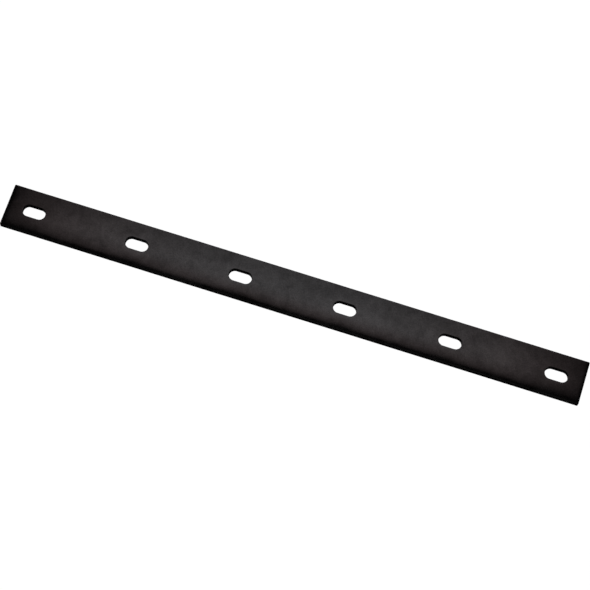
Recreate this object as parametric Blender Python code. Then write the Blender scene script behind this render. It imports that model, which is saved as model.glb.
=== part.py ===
"""Wear bar of an ATV snow plow blade: one flat steel bar with six bolt slots, coated black.

The bar lies on its back face, in metres, with +Z up.
  X runs along the bar.
  Y runs across it: -Y is the edge that scrapes the ground, +Y the edge under the moldboard.
  Z = 0 is the back face, which is bolted against the moldboard, and +Z is the front.
The origin is the centre of the back face. The bar is the same about all three of its middle
planes, so it can be turned end for end, over, or with its other long edge down when one is worn.
"""

from math import cos, pi, radians, sin

import bmesh
import bpy

# The bar
BAR_LENGTH = 0.690
BAR_WIDTH = 0.052
BAR_THICKNESS = 0.008
CORNER_RADIUS = 0.0012
EDGE_RADIUS = 0.0007

# The bolt slots: one row on the bar's centreline, the row centred between the bar's ends
SLOT_COUNT = 6
SLOT_PITCH = 0.125
SLOT_LENGTH = 0.027
SLOT_WIDTH = 0.014

# How finely the round stretches are divided: steps in a corner of the bar, in the half circle at
# a slot's end, and across a rounded edge
CORNER_STEPS = 2
SLOT_END_STEPS = 24
EDGE_STEPS = 2

# An edge that turns more than this is shaded sharp
SHARP_ANGLE = radians(50)

# How far the slot cutter reaches past each face of the bar
CUTTER_OVERRUN = 0.004

COAT_COLOUR = (0.022, 0.021, 0.022, 1.0)
COAT_ROUGHNESS = 0.38


def clear_scene():
    """Remove every object of the open scene."""
    for item in list(bpy.data.objects):
        bpy.data.objects.remove(item, do_unlink=True)


def coat_material():
    """The black coat that covers the whole bar."""
    material = bpy.data.materials.new("black_coat")
    material.use_nodes = True
    shader = material.node_tree.nodes["Principled BSDF"]
    shader.inputs["Base Color"].default_value = COAT_COLOUR
    shader.inputs["Roughness"].default_value = COAT_ROUGHNESS
    shader.inputs["Metallic"].default_value = 0.0
    return material


def arc_outline(centres, first_angle, radius, steps):
    """Outline of equal arcs about the given centres, joined by straight lines, counter-clockwise.

    The first arc starts at first_angle, and together the arcs make one full turn.
    """
    turn = 2 * pi / len(centres)
    points = []
    for index, (centre_x, centre_y) in enumerate(centres):
        for step in range(steps + 1):
            angle = first_angle + (index + step / steps) * turn
            points.append((centre_x + radius * cos(angle), centre_y + radius * sin(angle)))
    return points


def bar_outline(inset):
    """The bar seen from the front, inset by a distance: a rectangle whose corners are arcs."""
    x = BAR_LENGTH / 2 - CORNER_RADIUS
    y = BAR_WIDTH / 2 - CORNER_RADIUS
    centres = ((x, y), (-x, y), (-x, -y), (x, -y))
    return arc_outline(centres, 0, CORNER_RADIUS - inset, CORNER_STEPS)


def slot_outline(offset):
    """One slot, widened by a distance: two half circles with straight sides between them."""
    x = (SLOT_LENGTH - SLOT_WIDTH) / 2
    return arc_outline(((x, 0), (-x, 0)), -pi / 2, SLOT_WIDTH / 2 + offset, SLOT_END_STEPS)


def edge_rounding():
    """How far the rounded edges stand back from the side walls, at each height up the bar."""
    angles = [step / EDGE_STEPS * pi / 2 for step in range(EDGE_STEPS + 1)]
    back = [(EDGE_RADIUS * (1 - sin(angle)), EDGE_RADIUS * (1 - cos(angle))) for angle in angles]
    front = [(distance, BAR_THICKNESS - height) for distance, height in reversed(back)]
    return back + front


def loft(name, rings):
    """A closed solid through rings of points, each an outline at a height, from bottom to top."""
    form = bmesh.new()
    loops = []
    for outline, height in rings:
        points = [form.verts.new((x, y, height)) for x, y in outline]
        loops.append([form.edges.new(pair) for pair in zip(points, points[1:] + points[:1])])
    for lower, upper in zip(loops, loops[1:]):
        bmesh.ops.bridge_loops(form, edges=lower + upper)
    for cap in (loops[0], loops[-1]):
        bmesh.ops.contextual_create(form, geom=cap)
    bmesh.ops.recalc_face_normals(form, faces=form.faces)
    mesh = bpy.data.meshes.new(name)
    form.to_mesh(mesh)
    form.free()
    mesh.shade_smooth()
    mesh.set_sharp_from_angle(angle=SHARP_ANGLE)
    solid = bpy.data.objects.new(name, mesh)
    bpy.context.scene.collection.objects.link(solid)
    return solid


def slot_cutter():
    """The row of punches that opens the slots and rounds their rims. It isn't part of the bar."""
    flared = [(slot_outline(distance), height) for distance, height in edge_rounding()]
    below = (slot_outline(EDGE_RADIUS), -CUTTER_OVERRUN)
    above = (slot_outline(EDGE_RADIUS), BAR_THICKNESS + CUTTER_OVERRUN)
    cutter = loft("slot_cutter", [below, *flared, above])
    cutter.location.x = -SLOT_PITCH * (SLOT_COUNT - 1) / 2
    cutter.hide_render = True
    cutter.display_type = "WIRE"
    row = cutter.modifiers.new("slot row", "ARRAY")
    row.count = SLOT_COUNT
    row.use_relative_offset = False
    row.use_constant_offset = True
    row.constant_offset_displace = (SLOT_PITCH, 0, 0)
    return cutter


def wear_bar():
    """The bar: a flat blank with rounded edges, and its bolt slots cut through it."""
    blank = [(bar_outline(distance), height) for distance, height in edge_rounding()]
    bar = loft("wear_bar", blank)
    bar.data.materials.append(coat_material())
    slots = bar.modifiers.new("bolt slots", "BOOLEAN")
    slots.operation = "DIFFERENCE"
    slots.solver = "EXACT"
    slots.object = slot_cutter()
    return bar


clear_scene()
wear_bar()
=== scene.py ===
"""Looks of the ATV plow blade's wear bar: a satin black coated steel bar in a pale studio.

The bar is rebuilt around its CAD node as a fine mesh of quads: rounded edges and slot rims, faces
with the slight waviness of rolled bar that droop a little towards every edge, and side and slot
walls with the marks of cutting under the coat. The coat, the soft light, the pale floor and the
camera are all made of nodes and plain geometry. Everything is in metres, in the frame of the CAD.
"""

from collections import namedtuple
from math import cos, pi, radians, sin

import bmesh
import bpy
import numpy as np
from mathutils import Matrix, Vector, noise


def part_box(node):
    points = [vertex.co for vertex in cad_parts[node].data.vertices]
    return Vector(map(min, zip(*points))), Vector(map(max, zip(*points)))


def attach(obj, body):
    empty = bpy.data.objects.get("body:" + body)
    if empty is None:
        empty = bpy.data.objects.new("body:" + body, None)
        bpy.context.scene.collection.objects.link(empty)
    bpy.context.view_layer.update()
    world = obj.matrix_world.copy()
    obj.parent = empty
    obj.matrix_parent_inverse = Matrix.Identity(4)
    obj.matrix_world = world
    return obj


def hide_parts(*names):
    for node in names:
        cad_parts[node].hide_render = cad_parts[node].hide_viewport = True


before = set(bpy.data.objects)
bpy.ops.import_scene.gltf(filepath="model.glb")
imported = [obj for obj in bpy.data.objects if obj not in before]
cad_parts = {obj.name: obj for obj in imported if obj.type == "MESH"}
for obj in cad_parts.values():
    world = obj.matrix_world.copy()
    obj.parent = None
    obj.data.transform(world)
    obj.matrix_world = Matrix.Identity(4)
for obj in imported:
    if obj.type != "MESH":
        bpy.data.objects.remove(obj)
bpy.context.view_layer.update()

NODE = "wear_bar"
BODY = "root"

# Spacing of the visual mesh: along the bar and across it
STEP_ALONG = 0.0030
STEP_ACROSS = 0.0030

# The face round a slot: rings of quads from the slot out to its cell, crowded towards both
RINGS = 14
RING_CROWDING = 0.35

# Steps in a corner of the bar, down a wall and across a rounded edge
CORNER_STEPS = 6
WALL_LEVELS = 5
ROUNDING_STEPS = 5

# The first level of a wall lies this many edge radii below the face
FIRST_LEVEL = 1.6

# Edges that turn more than this get rounded
SHARP_ANGLE = radians(60)

# How strongly large flat faces outweigh small ones in the shading, out of 100
FLATNESS_WEIGHT = 90

# Points closer than SAME_PLACE are one point. The CAD's points are read as lying in a plane when
# they are within READING_ERROR of it.
SAME_PLACE = 0.000001
READING_ERROR = 0.00001

# Relief of the real surface, all of it cut inwards from the CAD's faces. The droop reaches in from
# every edge, the bow along the bar from the middle of every slot.
DROOP_DEPTH = 0.00007
DROOP_REACH = 0.0040
BOW_DEPTH = 0.00016
BOW_REACH = 0.026
BOW_POWER = 1.5

# Relief that follows noise: how deep it is, its wavelength, and the place where its noise starts
Relief = namedtuple("Relief", "depth length seed")
WAVES = Relief(0.00005, 0.045, 11.3)
DIMPLES = Relief(0.000012, 0.0075, 5.1)
CUTS = Relief(0.00006, 0.0030, 7.7)

# Cutting marks run down a wall: a height counts for this share of the same distance along it
CUT_SHARE = 0.15

# Perlin noise seldom goes past 0.6 either way, so this spreads it to about 1
NOISE_SPREAD = 1.6

# The view: the camera looks at the bar's middle from above its long edge on the side of -Y
CAMERA_AZIMUTH = radians(12.79)
CAMERA_ELEVATION = radians(69.85)
CAMERA_ROLL = radians(5.24)
CAMERA_DISTANCE = 2.1773
CAMERA_LENS = 116.49
CAMERA_AIM = Vector((0.0034, -0.0006, 0.0040))
SENSOR_WIDTH = 36.0

# The floor: how far it reaches each way, its gap to the bar, its own tone and its glow
FLOOR_SIZE = 30.0
FLOOR_GAP = 0.0002
FLOOR_TONE = 0.05
FLOOR_GLOW = 1.015

# The camera sees from well before the bar to past the ends of the floor
CLIP_START = CAMERA_DISTANCE / 20
CLIP_END = FLOOR_SIZE * 4

WHITE = (1.0, 1.0, 1.0, 1.0)

# The softbox: its height over the front face, its strength, its size, and how it is moved and
# turned to suit
SOFTBOX_HEIGHT = 0.10
SOFTBOX_STRENGTH = 1.05
SOFTBOX_WIDTH = 1.6
SOFTBOX_REACH = 1.2
SOFTBOX_SHIFT = (0.0003, 0.0001)
SOFTBOX_TURN = radians(0.16)

# Its fades over the bar. The ranges across are in shares of the bar's width from its near edge,
# and the gate at the ends is in shares of half the bar's length from its middle.
NEAR_FADE = (0.050, 0.440)
NEAR_FADE_POWER = 0.72
FAR_FADE = (0.49, 0.91)
FAR_LEVEL = 0.69
OPEN_BACK = (1.2, 2.2)
END_FADE = 0.88
END_FADE_POWER = 3.6
END_GATE = (0.984, 0.998)

# The colour that its light takes on as it fades
FADED_TINT = (1.204, 0.948, 0.919, 1.0)
FADED_TINT_POWER = 0.7

# What the coat mirrors past the softbox: a glow round the horizon, dim towards the camera's side
# but for a low strip, and another overhead. Each range runs over one component of the mirrored
# direction.
HORIZON_GLOW = 0.50
HORIZON_FROM_BELOW = (-0.75, 0.0)
HORIZON_TO_ABOVE = (0.15, 0.75)
BEHIND = (-0.5, 0.3)
BESIDE = (0.25, 1.0)
FRONT_SHARE = 0.15
STRIP_FROM_BELOW = (-0.30, -0.12)
STRIP_TO_ABOVE = (-0.04, 0.04)
STRIP_SHARE = 0.8
OVERHEAD = (0.982, 0.996)
OVERHEAD_GLOW = 0.30

# The light that the coat's own colour gets from all round
ROOM_LIGHT = 0.12


# ---------------------------------------------------------------- the CAD node's own sizes

def cad_points():
    """The CAD node's vertices as an array of x, y, z."""
    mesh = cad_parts[NODE].data
    points = np.zeros(len(mesh.vertices) * 3)
    mesh.vertices.foreach_get("co", points)
    return points.reshape(-1, 3)


class BarSizes:
    """Sizes of the bar and its slots, read from the CAD node's side and slot walls."""

    def __init__(self):
        low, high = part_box(NODE)
        self.half_length = (high.x - low.x) / 2
        self.half_width = (high.y - low.y) / 2
        self.bottom = low.z
        self.top = high.z
        points = cad_points()
        side_wall = points[points[:, 1] > high.y - READING_ERROR]
        self.edge_radius = float(side_wall[:, 2].min()) - low.z
        self.corner_radius = self.half_length - float(side_wall[:, 0].max())
        self.read_slots(points, low.z + self.edge_radius)

    def read_slots(self, points, wall_foot):
        """Reads the slots from the points at the foot of their walls."""
        inner = points[np.abs(points[:, 1]) < self.half_width / 2]
        rims = inner[np.abs(inner[:, 2] - wall_foot) < READING_ERROR]
        order = np.sort(rims[:, 0])
        gaps = np.nonzero(np.diff(order) > self.half_width)[0]
        starts = np.concatenate(([0], gaps + 1))
        ends = np.concatenate((gaps, [len(order) - 1]))
        self.slot_centres = [float(order[a] + order[b]) / 2 for a, b in zip(starts, ends)]
        self.slot_length = float(order[ends[0]] - order[starts[0]])
        self.slot_width = float(rims[:, 1].max() - rims[:, 1].min())
        self.slot_radius = self.slot_width / 2
        self.slot_half_straight = (self.slot_length - self.slot_width) / 2


# ---------------------------------------------------------------- the visual mesh

def evenly(start, end, step):
    """How many equal steps of about the given size fit between two places."""
    return max(1, round(abs(end - start) / step))


def corner_arc(corner, inward, radius, first_angle):
    """Points round a corner, counter-clockwise, or the corner itself where its radius is 0."""
    if not radius:
        return [corner]
    centre = corner + inward * radius
    angles = [first_angle + k / CORNER_STEPS * pi / 2 for k in range(CORNER_STEPS + 1)]
    return [centre + radius * Vector((cos(angle), sin(angle))) for angle in angles]


def cell_outline(x_low, x_high, half_width, corner_left, corner_right):
    """Points round a slot's cell, counter-clockwise from its lower right corner.

    corner_left and corner_right are the radii of the cell's corners at each end, 0 where the cell
    meets the next one.
    """
    across = evenly(-half_width, half_width, STEP_ACROSS)
    along = evenly(x_low, x_high, STEP_ALONG)
    arcs = [
        corner_arc(Vector((x_high, -half_width)), Vector((-1, 1)), corner_right, -pi / 2),
        corner_arc(Vector((x_high, half_width)), Vector((-1, -1)), corner_right, 0.0),
        corner_arc(Vector((x_low, half_width)), Vector((1, -1)), corner_left, pi / 2),
        corner_arc(Vector((x_low, -half_width)), Vector((1, 1)), corner_left, pi),
    ]
    points = []
    for arc, following, count in zip(arcs, arcs[1:] + arcs[:1], (across, along, across, along)):
        points.extend(arc)
        points.extend(arc[-1].lerp(following[0], k / count) for k in range(1, count))
    return points


def obround_point(distance, half_straight, radius):
    """The point at a distance along an obround, counter-clockwise from its right-most point."""
    quarter = radius * pi / 2
    straight = 2 * half_straight
    half_turn = radius * pi
    total = 2 * (straight + half_turn)
    distance = distance % total
    if distance < quarter:
        angle = distance / radius
        return Vector((half_straight + radius * cos(angle), radius * sin(angle)))
    distance -= quarter
    if distance < straight:
        return Vector((half_straight - distance, radius))
    distance -= straight
    if distance < half_turn:
        angle = pi / 2 + distance / radius
        return Vector((-half_straight + radius * cos(angle), radius * sin(angle)))
    distance -= half_turn
    if distance < straight:
        return Vector((-half_straight + distance, -radius))
    angle = -pi / 2 + (distance - straight) / radius
    return Vector((half_straight + radius * cos(angle), radius * sin(angle)))


def slot_points(centre_x, outline, sizes):
    """Points evenly spaced round a slot, one for each point of its cell's outline."""
    radius = sizes.slot_radius
    half_straight = sizes.slot_half_straight
    total = 2 * pi * radius + 4 * half_straight
    count = len(outline)
    # The outline has these points before the middle of its right side, so the slot has as many
    # before its right-most point
    below_middle = [p for p in outline if p.x > outline[0].x - SAME_PLACE and p.y < SAME_PLACE]
    start = -len(below_middle) / count * total
    middle = Vector((centre_x, 0.0))
    return [middle + obround_point(start + k / count * total, half_straight, radius)
            for k in range(count)]


def crowded(share):
    """A share from 0 to 1, moved so that even steps of it crowd towards both ends."""
    return share - RING_CROWDING / (2 * pi) * sin(2 * pi * share)


def add_cell(form, centre_x, x_low, x_high, corner_left, corner_right, sizes):
    """The part of the front face round one slot, as rings of quads from the slot outwards."""
    outer = cell_outline(x_low, x_high, sizes.half_width, corner_left, corner_right)
    inner = slot_points(centre_x, outer, sizes)
    rings = []
    for ring in range(RINGS + 1):
        share = crowded(ring / RINGS)
        rings.append([form.verts.new((*a.lerp(b, share), sizes.top)) for a, b in zip(inner, outer)])
    for near, far in zip(rings, rings[1:]):
        for k in range(len(near)):
            following = (k + 1) % len(near)
            form.faces.new((near[k], far[k], far[following], near[following]))


def face_sheet(sizes):
    """The whole front face as one sheet of quads with the slots open in it."""
    form = bmesh.new()
    centres = sizes.slot_centres
    borders = [(a + b) / 2 for a, b in zip(centres, centres[1:])]
    lows = [-sizes.half_length, *borders]
    highs = [*borders, sizes.half_length]
    last = len(centres) - 1
    for index, centre in enumerate(centres):
        add_cell(
            form, centre, lows[index], highs[index],
            sizes.corner_radius if index == 0 else 0.0,
            sizes.corner_radius if index == last else 0.0,
            sizes,
        )
    bmesh.ops.remove_doubles(form, verts=form.verts, dist=SAME_PLACE)
    return form


def add_back(form, height):
    """A copy of the front sheet at the back, facing the other way."""
    copied = bmesh.ops.duplicate(form, geom=[*form.verts, *form.edges, *form.faces])["geom"]
    back_faces = [item for item in copied if isinstance(item, bmesh.types.BMFace)]
    back_verts = [item for item in copied if isinstance(item, bmesh.types.BMVert)]
    bmesh.ops.translate(form, verts=back_verts, vec=(0, 0, -height))
    bmesh.ops.reverse_faces(form, faces=back_faces)


def extrude_down(form, rim, drop):
    """A level of quads straight down from a rim of edges. Returns the rim at its foot."""
    made = bmesh.ops.extrude_edge_only(form, edges=rim)["geom"]
    verts = [item for item in made if isinstance(item, bmesh.types.BMVert)]
    bmesh.ops.translate(form, verts=verts, vec=(0, 0, -drop))
    foot = set(verts)
    return [item for item in made
            if isinstance(item, bmesh.types.BMEdge) and foot.issuperset(item.verts)]


def thicken(form, sizes):
    """Turns the front sheet into the closed bar, with levels of quads down every wall."""
    height = sizes.top - sizes.bottom
    rim = [edge for edge in form.edges if edge.is_boundary]
    add_back(form, height)
    # The rounding of the edges takes its share above the first level and below the last
    inset = sizes.edge_radius * FIRST_LEVEL
    levels = [inset + (height - 2 * inset) * k / (WALL_LEVELS - 1) for k in range(WALL_LEVELS)]
    depth = 0.0
    for level in [*levels, height]:
        rim = extrude_down(form, rim, level - depth)
        depth = level
    bmesh.ops.remove_doubles(form, verts=form.verts, dist=SAME_PLACE)
    bmesh.ops.recalc_face_normals(form, faces=form.faces)


def round_edges(form, sizes):
    """Rounds the edges of the bar and the rims of its slots."""
    sharp = [edge for edge in form.edges
             if len(edge.link_faces) == 2 and edge.calc_face_angle() > SHARP_ANGLE]
    bmesh.ops.bevel(
        form, geom=sharp, offset=sizes.edge_radius, offset_type="OFFSET",
        segments=ROUNDING_STEPS, profile=0.5, affect="EDGES", clamp_overlap=True,
    )


def depth_at(point, relief):
    """How deep a noisy relief is at a point: smooth, from 0 to its depth."""
    place = point / relief.length + Vector((1, 2, 3)) * relief.seed
    level = noise.noise(place, noise_basis="PERLIN_ORIGINAL") * NOISE_SPREAD
    return (0.5 + 0.5 * max(-1.0, min(1.0, level))) * relief.depth


def edge_distance(place, sizes):
    """Distance from a point of the face to the nearest edge of the bar or rim of a slot."""
    outer = min(sizes.half_length - abs(place.x), sizes.half_width - abs(place.y))
    rim = min(
        Vector((max(abs(place.x - centre) - sizes.slot_half_straight, 0.0), place.y)).length
        for centre in sizes.slot_centres
    ) - sizes.slot_radius
    return max(0.0, min(outer, rim))


def bow(place, sizes):
    """How far punching the nearest slot has bent the metal beside it down, from 0 to 1."""
    beside = min(abs(place.x - centre) for centre in sizes.slot_centres) / BOW_REACH
    if beside >= 1:
        return 0.0
    rim = sizes.slot_radius
    outward = max(0.0, abs(place.y) - rim) / (sizes.half_width - rim)
    return outward ** BOW_POWER * (0.5 + 0.5 * cos(pi * beside))


def wear_in(form, sizes):
    """Gives the faces their droop and waviness and the walls the marks of cutting, inwards only."""
    form.normal_update()
    moves = []
    for vert in form.verts:
        place = vert.co
        flat = abs(vert.normal.z)
        near_edge = max(0.0, 1 - edge_distance(place, sizes) / DROOP_REACH)
        droop = near_edge ** 2 * DROOP_DEPTH + bow(place, sizes) * BOW_DEPTH
        wave = depth_at(Vector((place.x, place.y, 0)), WAVES)
        dimple = depth_at(place, DIMPLES)
        cut = depth_at(Vector((place.x, place.y, place.z * CUT_SHARE)), CUTS) * (1 - flat)
        moves.append(vert.normal * -(flat * (droop + wave + dimple) + cut))
    for vert, move in zip(form.verts, moves):
        vert.co += move


def build_bar(sizes):
    """The visual bar, riding on the CAD's body in place of the CAD node."""
    form = face_sheet(sizes)
    thicken(form, sizes)
    round_edges(form, sizes)
    wear_in(form, sizes)
    mesh = bpy.data.meshes.new("coated_bar")
    form.to_mesh(mesh)
    form.free()
    mesh.shade_smooth()
    mesh.materials.append(black_coat())
    bar = bpy.data.objects.new("coated_wear_bar", mesh)
    bpy.context.scene.collection.objects.link(bar)
    flats = bar.modifiers.new("flat faces stay flat", "WEIGHTED_NORMAL")
    flats.mode = "FACE_AREA"
    flats.weight = FLATNESS_WEIGHT
    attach(bar, BODY)
    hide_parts(NODE)


# ---------------------------------------------------------------- node helpers

class Nodes:
    """Small helper that adds and links nodes of one tree."""

    def __init__(self, tree):
        self.tree = tree
        tree.nodes.clear()

    def add(self, kind, inputs=None, **settings):
        """A node with its settings, and its inputs set to values or linked to sockets."""
        node = self.tree.nodes.new(kind)
        for name, value in settings.items():
            setattr(node, name, value)
        for name, value in (inputs or {}).items():
            self.feed(node.inputs[name], value)
        return node

    def feed(self, socket, value):
        """Links an output to the socket, or sets the socket to a value."""
        if isinstance(value, bpy.types.NodeSocket):
            self.tree.links.new(value, socket)
        else:
            socket.default_value = value

    def math(self, operation, first, second=0.0, third=0.0, clamp=False):
        """The output of a Math node."""
        node = self.add("ShaderNodeMath", {0: first, 1: second, 2: third},
                        operation=operation, use_clamp=clamp)
        return node.outputs[0]

    def remap(self, value, source, target, kind="LINEAR"):
        """A value moved from its source range to a target range, and kept inside that one."""
        node = self.add("ShaderNodeMapRange", interpolation_type=kind, inputs={
            "Value": value, "From Min": source[0], "From Max": source[1],
            "To Min": target[0], "To Max": target[1],
        })
        return node.outputs["Result"]

    def ease(self, value, source, target=(0.0, 1.0)):
        """As remap, with a gentle start and end."""
        return self.remap(value, source, target, kind="SMOOTHSTEP")

    def blend(self, share, first, second):
        """A colour that goes from the first to the second as the share goes from 0 to 1."""
        node = self.add("ShaderNodeMix", {0: share, 6: first, 7: second}, data_type="RGBA")
        return node.outputs[2]

    def noise(self, vector, layer):
        """The factor of a Noise Texture node, about 0.5 on average."""
        node = self.add("ShaderNodeTexNoise", {
            "Vector": vector, "Scale": layer.scale, "Detail": layer.detail,
            "Roughness": layer.roughness, "Distortion": layer.distortion,
        })
        return node.outputs[0]


# ---------------------------------------------------------------- the coat

# The coat's own tone and tint, and how it mirrors on the faces and, duller, on the walls
COAT_TONE = 0.0125
COAT_TINT = (1.0, 0.957, 0.986)
COAT_IOR = 1.5
COAT_ROUGHNESS = 0.11
WALL_ROUGHNESS = 0.32

# Layers of noise: features per metre, then the noise's detail, roughness and distortion
Layer = namedtuple("Layer", "scale detail roughness distortion")
CLOUDS = Layer(34.0, 2.0, 0.5, 0.7)
BLOTCHES = Layer(115.0, 3.0, 0.6, 0.4)
GRAIN = Layer(520.0, 2.0, 0.6, 0.0)
ORANGE_PEEL = Layer(260.0, 1.0, 0.4, 0.0)
CUT_MARKS = Layer(1400.0, 2.0, 0.6, 0.0)

# The part of a layer's noise that counts, from its lows to its highs
NOISE_RANGE = (0.3, 0.7)

# The sheen where nothing moves it, and how far each layer does
EVEN_SHEEN = 0.5
CLOUD_SHEEN = 0.080
BLOTCH_SHEEN = 0.070
GRAIN_SHEEN = 0.078

# Sets of scuffs: their direction, how high the noise must be to leave one, and what they add to the
# sheen. A scuff is at its full strength where the noise is SCUFF_EDGE higher. SCUFF_SCALES holds
# the noise's features per metre: few along a scuff and many across it.
Scuffs = namedtuple("Scuffs", "turn threshold sheen")
SCUFF_SETS = (Scuffs(radians(62), 0.62, 0.08), Scuffs(radians(-24), 0.64, 0.053))
SCUFF_EDGE = 0.08
SCUFF_SCALES = (45.0, 1100.0, 45.0)
SCUFF_LINES = Layer(1.0, 1.0, 0.5, 0.2)

# How strongly the coat's colour follows its sheen: the sheen's mottle is painted into the colour as
# well, as painted sheen
PAINTED_SHEEN_POWER = 3.0

# How far the clouds and the grain move the roughness
CLOUD_ROUGHNESS = 0.012
GRAIN_ROUGHNESS = 0.010

# The normal's Z where a face starts to count as a wall, and where it fully does
WALL_TURN = (0.55, 0.2)

# Bump: its strength and height, what grain and cutting marks add to the orange peel, and how much
# the cutting marks are drawn out down the wall
BUMP_STRENGTH = 0.35
BUMP_HEIGHT = 0.00002
GRAIN_BUMP = 0.12
CUT_BUMP = 0.8
CUT_DRAW = (1.0, 1.0, 0.06)


def scuff_lines(make, place, scuffs):
    """Sparse fine lines across the face: faint scuffs from handling, all in about one direction."""
    turned = make.add("ShaderNodeMapping", {"Vector": place, "Rotation": (0.0, 0.0, scuffs.turn)})
    drawn_out = make.add("ShaderNodeMapping", {
        "Vector": turned.outputs["Vector"], "Scale": SCUFF_SCALES,
    })
    lines = make.noise(drawn_out.outputs["Vector"], SCUFF_LINES)
    return make.remap(lines, (scuffs.threshold, scuffs.threshold + SCUFF_EDGE), (0.0, 1.0))


def black_coat():
    """Satin black coat over steel: cloudy sheen, faint scuffs, orange peel and a fine grain, with
    the sheen's mottle also painted into the colour as painted sheen.
    """
    material = bpy.data.materials.new("satin_black_coat")
    material.use_nodes = True
    make = Nodes(material.node_tree)
    place = make.add("ShaderNodeTexCoord").outputs["Object"]

    grain = make.noise(place, GRAIN)
    cloudy = make.remap(make.noise(place, CLOUDS), NOISE_RANGE, (-1.0, 1.0))
    blotchy = make.remap(make.noise(place, BLOTCHES), NOISE_RANGE, (-1.0, 1.0))
    grainy = make.remap(grain, NOISE_RANGE, (-1.0, 1.0))
    sheen = make.math("MULTIPLY_ADD", cloudy, CLOUD_SHEEN, EVEN_SHEEN)
    sheen = make.math("MULTIPLY_ADD", blotchy, BLOTCH_SHEEN, sheen)
    sheen = make.math("MULTIPLY_ADD", grainy, GRAIN_SHEEN, sheen)
    for scuffs in SCUFF_SETS:
        lines = scuff_lines(make, place, scuffs)
        sheen = make.math("MULTIPLY_ADD", lines, scuffs.sheen, sheen)

    facing = make.add("ShaderNodeNewGeometry").outputs["Normal"]
    upward = make.math("ABSOLUTE", make.add("ShaderNodeSeparateXYZ", {0: facing}).outputs["Z"])
    wall = make.ease(upward, WALL_TURN)
    roughness = make.math("MULTIPLY_ADD", cloudy, CLOUD_ROUGHNESS, COAT_ROUGHNESS)
    roughness = make.math("MULTIPLY_ADD", grainy, GRAIN_ROUGHNESS, roughness)
    roughness = make.math("MULTIPLY_ADD", wall, WALL_ROUGHNESS - COAT_ROUGHNESS, roughness)

    drawn_out = make.add("ShaderNodeMapping", {"Vector": place, "Scale": CUT_DRAW})
    cuts = make.math("MULTIPLY", make.noise(drawn_out.outputs["Vector"], CUT_MARKS), wall)
    height = make.math("MULTIPLY_ADD", grain, GRAIN_BUMP, make.noise(place, ORANGE_PEEL))
    height = make.math("MULTIPLY_ADD", cuts, CUT_BUMP, height)
    bump = make.add("ShaderNodeBump", {
        "Strength": BUMP_STRENGTH, "Distance": BUMP_HEIGHT, "Height": height,
    })

    # Painted sheen: the coat's black colour is scaled by a power of the sheen, so the mottle and
    # scuffs of the reflection also show as lighter and darker colour
    tone_with_painted_sheen = make.math("POWER", make.math("MULTIPLY", sheen, 1 / EVEN_SHEEN), PAINTED_SHEEN_POWER)
    colour = make.add("ShaderNodeVectorMath", {
        0: COAT_TINT, "Scale": make.math("MULTIPLY", tone_with_painted_sheen, COAT_TONE),
    }, operation="SCALE")
    shader = make.add("ShaderNodeBsdfPrincipled", {
        "Base Color": colour.outputs["Vector"],
        "Roughness": roughness,
        "IOR": COAT_IOR,
        "Specular IOR Level": sheen,
        "Specular Tint": (*COAT_TINT, 1.0),
        "Normal": bump.outputs["Normal"],
    })
    make.add("ShaderNodeOutputMaterial", {"Surface": shader.outputs["BSDF"]})
    return material


# ---------------------------------------------------------------- camera, floor and light

def add_camera():
    """The camera, placed round its aim by azimuth, elevation and distance, then rolled."""
    back = Vector((
        sin(CAMERA_AZIMUTH) * cos(CAMERA_ELEVATION),
        -cos(CAMERA_AZIMUTH) * cos(CAMERA_ELEVATION),
        sin(CAMERA_ELEVATION),
    ))
    data = bpy.data.cameras.new("camera")
    data.sensor_width = SENSOR_WIDTH
    data.lens = CAMERA_LENS
    data.clip_start = CLIP_START
    data.clip_end = CLIP_END
    camera = bpy.data.objects.new("camera", data)
    level = (-back).to_track_quat("-Z", "Y").to_matrix()
    rolled = level @ Matrix.Rotation(CAMERA_ROLL, 3, "Z")
    camera.matrix_world = Matrix.LocRotScale(CAMERA_AIM + back * CAMERA_DISTANCE, rolled, None)
    bpy.context.scene.collection.objects.link(camera)
    bpy.context.scene.camera = camera
    return camera


def stage_plane(name, material):
    """A flat square from -1 to 1 that is part of the studio and not of the object.

    Rays that leave the coat find its light by themselves, which keeps the even coat free of noise.
    """
    material.cycles.emission_sampling = "NONE"
    form = bmesh.new()
    bmesh.ops.create_grid(form, x_segments=1, y_segments=1, size=1.0)
    mesh = bpy.data.meshes.new(name)
    form.to_mesh(mesh)
    form.free()
    mesh.materials.append(material)
    plane = bpy.data.objects.new(name, mesh)
    bpy.context.scene.collection.objects.link(plane)
    return plane


def add_floor(sizes):
    """A pale, softly glowing floor under the bar. It neither lights the coat nor shows in it."""
    material = bpy.data.materials.new("pale_floor")
    material.use_nodes = True
    make = Nodes(material.node_tree)
    matt = make.add("ShaderNodeBsdfDiffuse", {"Color": (FLOOR_TONE, FLOOR_TONE, FLOOR_TONE, 1)})
    glow = make.add("ShaderNodeEmission", {"Strength": FLOOR_GLOW})
    both = make.add("ShaderNodeAddShader", {0: matt.outputs[0], 1: glow.outputs[0]})
    make.add("ShaderNodeOutputMaterial", {"Surface": both.outputs[0]})
    floor = stage_plane("floor", material)
    floor.scale = (FLOOR_SIZE, FLOOR_SIZE, 1)
    floor.location.z = sizes.bottom - FLOOR_GAP
    floor.visible_glossy = False
    floor.visible_diffuse = False


def reflected(x, y, camera, sizes):
    """Where the camera's ray to a point of the front face, mirrored there, meets the softbox."""
    eye = camera.matrix_world.translation
    share = SOFTBOX_HEIGHT / (eye.z - sizes.top)
    return x + (x - eye.x) * share, y + (y - eye.y) * share


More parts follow.
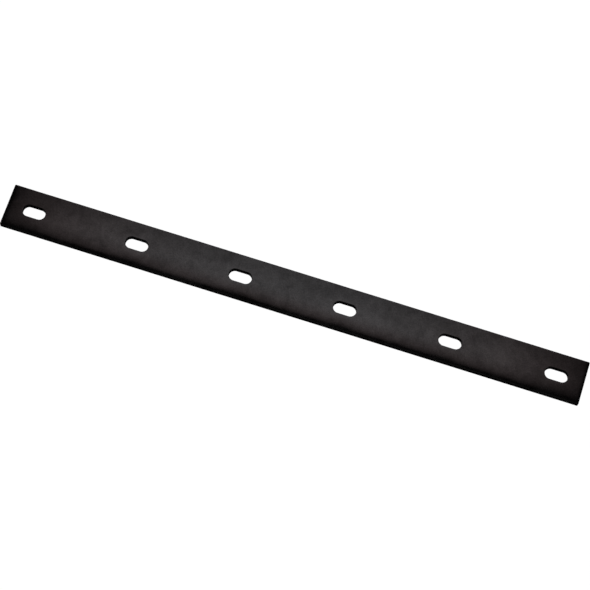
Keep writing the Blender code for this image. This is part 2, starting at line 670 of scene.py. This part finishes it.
def softbox_material(unit):
    """White light over the bar, shaded where the camera sees it mirrored in the front face.

    unit is the bar's reflection as the softbox's own coordinates measure it: half its length, and
    its width, which is counted from the softbox's near side. Over the bar the light fades towards
    both ends and both edges; farther back it is wide and even. Where it is dim, the room above
    shows through.
    """
    material = bpy.data.materials.new("softbox")
    material.use_nodes = True
    make = Nodes(material.node_tree)
    place = make.add("ShaderNodeSeparateXYZ", {
        0: make.add("ShaderNodeTexCoord").outputs["Object"],
    })
    sideways = make.math("ABSOLUTE", make.math("MULTIPLY", place.outputs["X"], 1 / unit[0]))
    across = make.math("MULTIPLY", make.math("ADD", place.outputs["Y"], 1.0), 1 / unit[1])
    ends = make.math("MULTIPLY_ADD", make.math("POWER", sideways, END_FADE_POWER), -END_FADE, 1.0,
                     clamp=True)
    ends = make.math("MULTIPLY", ends, make.remap(sideways, END_GATE, (1.0, 0.0)))
    ends = make.math("MAXIMUM", ends, make.ease(across, OPEN_BACK))
    rise = make.math("SINE", make.remap(across, NEAR_FADE, (0.0, pi / 2)))
    rise = make.math("POWER", rise, NEAR_FADE_POWER)
    level = make.math("MULTIPLY", ends, rise)
    strength = make.math("MULTIPLY", level, SOFTBOX_STRENGTH)
    strength = make.math("MULTIPLY", strength, make.remap(across, FAR_FADE, (1.0, FAR_LEVEL)))
    faded = make.math("SUBTRACT", 1.0, level, clamp=True)
    colour = make.blend(make.math("POWER", faded, FADED_TINT_POWER), WHITE, FADED_TINT)
    light = make.add("ShaderNodeEmission", {"Color": colour, "Strength": strength})
    opening = make.math("SUBTRACT", 1.0, strength, clamp=True)
    clear = make.add("ShaderNodeBsdfTransparent", {"Color": opening})
    both = make.add("ShaderNodeAddShader", {0: light.outputs[0], 1: clear.outputs[0]})
    make.add("ShaderNodeOutputMaterial", {"Surface": both.outputs[0]})
    return material


def add_softbox(camera, sizes):
    """A wide softbox over the far side of the bar, where the front face mirrors it."""
    left = reflected(-sizes.half_length, 0, camera, sizes)[0]
    right = reflected(sizes.half_length, 0, camera, sizes)[0]
    near = reflected(0, -sizes.half_width, camera, sizes)[1]
    far = reflected(0, sizes.half_width, camera, sizes)[1]
    unit = ((right - left) / SOFTBOX_WIDTH, 2 * (far - near) / SOFTBOX_REACH)
    softbox = stage_plane("softbox", softbox_material(unit))
    softbox.scale = (SOFTBOX_WIDTH / 2, SOFTBOX_REACH / 2, 1)
    softbox.location = (
        (left + right) / 2 + SOFTBOX_SHIFT[0],
        near + SOFTBOX_REACH / 2 + SOFTBOX_SHIFT[1],
        sizes.top + SOFTBOX_HEIGHT,
    )
    softbox.rotation_euler.z = SOFTBOX_TURN
    softbox.visible_camera = False
    softbox.visible_shadow = False
    softbox.visible_diffuse = False


def mirrored_room(make):
    """How bright the room is in the coat's reflections, by direction."""
    toward = make.add("ShaderNodeSeparateXYZ", {
        0: make.add("ShaderNodeTexCoord").outputs["Generated"],
    })
    up = toward.outputs["Z"]
    aside = make.math("ABSOLUTE", toward.outputs["X"])
    behind = make.ease(toward.outputs["Y"], BEHIND, (FRONT_SHARE, 1.0))
    beside = make.ease(aside, BESIDE, (FRONT_SHARE, 1.0))
    strip = make.math("MULTIPLY", make.ease(up, STRIP_FROM_BELOW, (0.0, STRIP_SHARE)),
                      make.ease(up, STRIP_TO_ABOVE, (1.0, 0.0)))
    share = make.math("MAXIMUM", make.math("MAXIMUM", behind, beside), strip)
    band = make.math("MULTIPLY", make.ease(up, HORIZON_FROM_BELOW, (0.0, HORIZON_GLOW)),
                     make.ease(up, HORIZON_TO_ABOVE, (1.0, 0.0)))
    band = make.math("MULTIPLY", band, share)
    return make.math("ADD", band, make.ease(up, OVERHEAD, (0.0, OVERHEAD_GLOW)))


def add_world():
    """A white room to the camera, a dim even one as light, and a shaped one in reflections."""
    world = bpy.data.worlds.new("studio")
    bpy.context.scene.world = world
    world.cycles.sampling_method = "NONE"
    world.use_nodes = True
    make = Nodes(world.node_tree)
    path = make.add("ShaderNodeLightPath")
    to_camera = make.math("MULTIPLY_ADD", path.outputs["Is Camera Ray"], 1.0 - ROOM_LIGHT,
                          ROOM_LIGHT)
    extra = make.math("SUBTRACT", mirrored_room(make), ROOM_LIGHT)
    strength = make.math("MULTIPLY_ADD", path.outputs["Is Glossy Ray"], extra, to_camera)
    light = make.add("ShaderNodeBackground", {"Color": WHITE, "Strength": strength})
    make.add("ShaderNodeOutputWorld", {"Surface": light.outputs[0]})


def build_studio(sizes):
    """Camera, floor, light and colour handling."""
    camera = add_camera()
    add_floor(sizes)
    add_softbox(camera, sizes)
    add_world()
    settings = bpy.context.scene.view_settings
    settings.view_transform = "Standard"
    settings.look = "None"


bar_sizes = BarSizes()
build_bar(bar_sizes)
build_studio(bar_sizes)
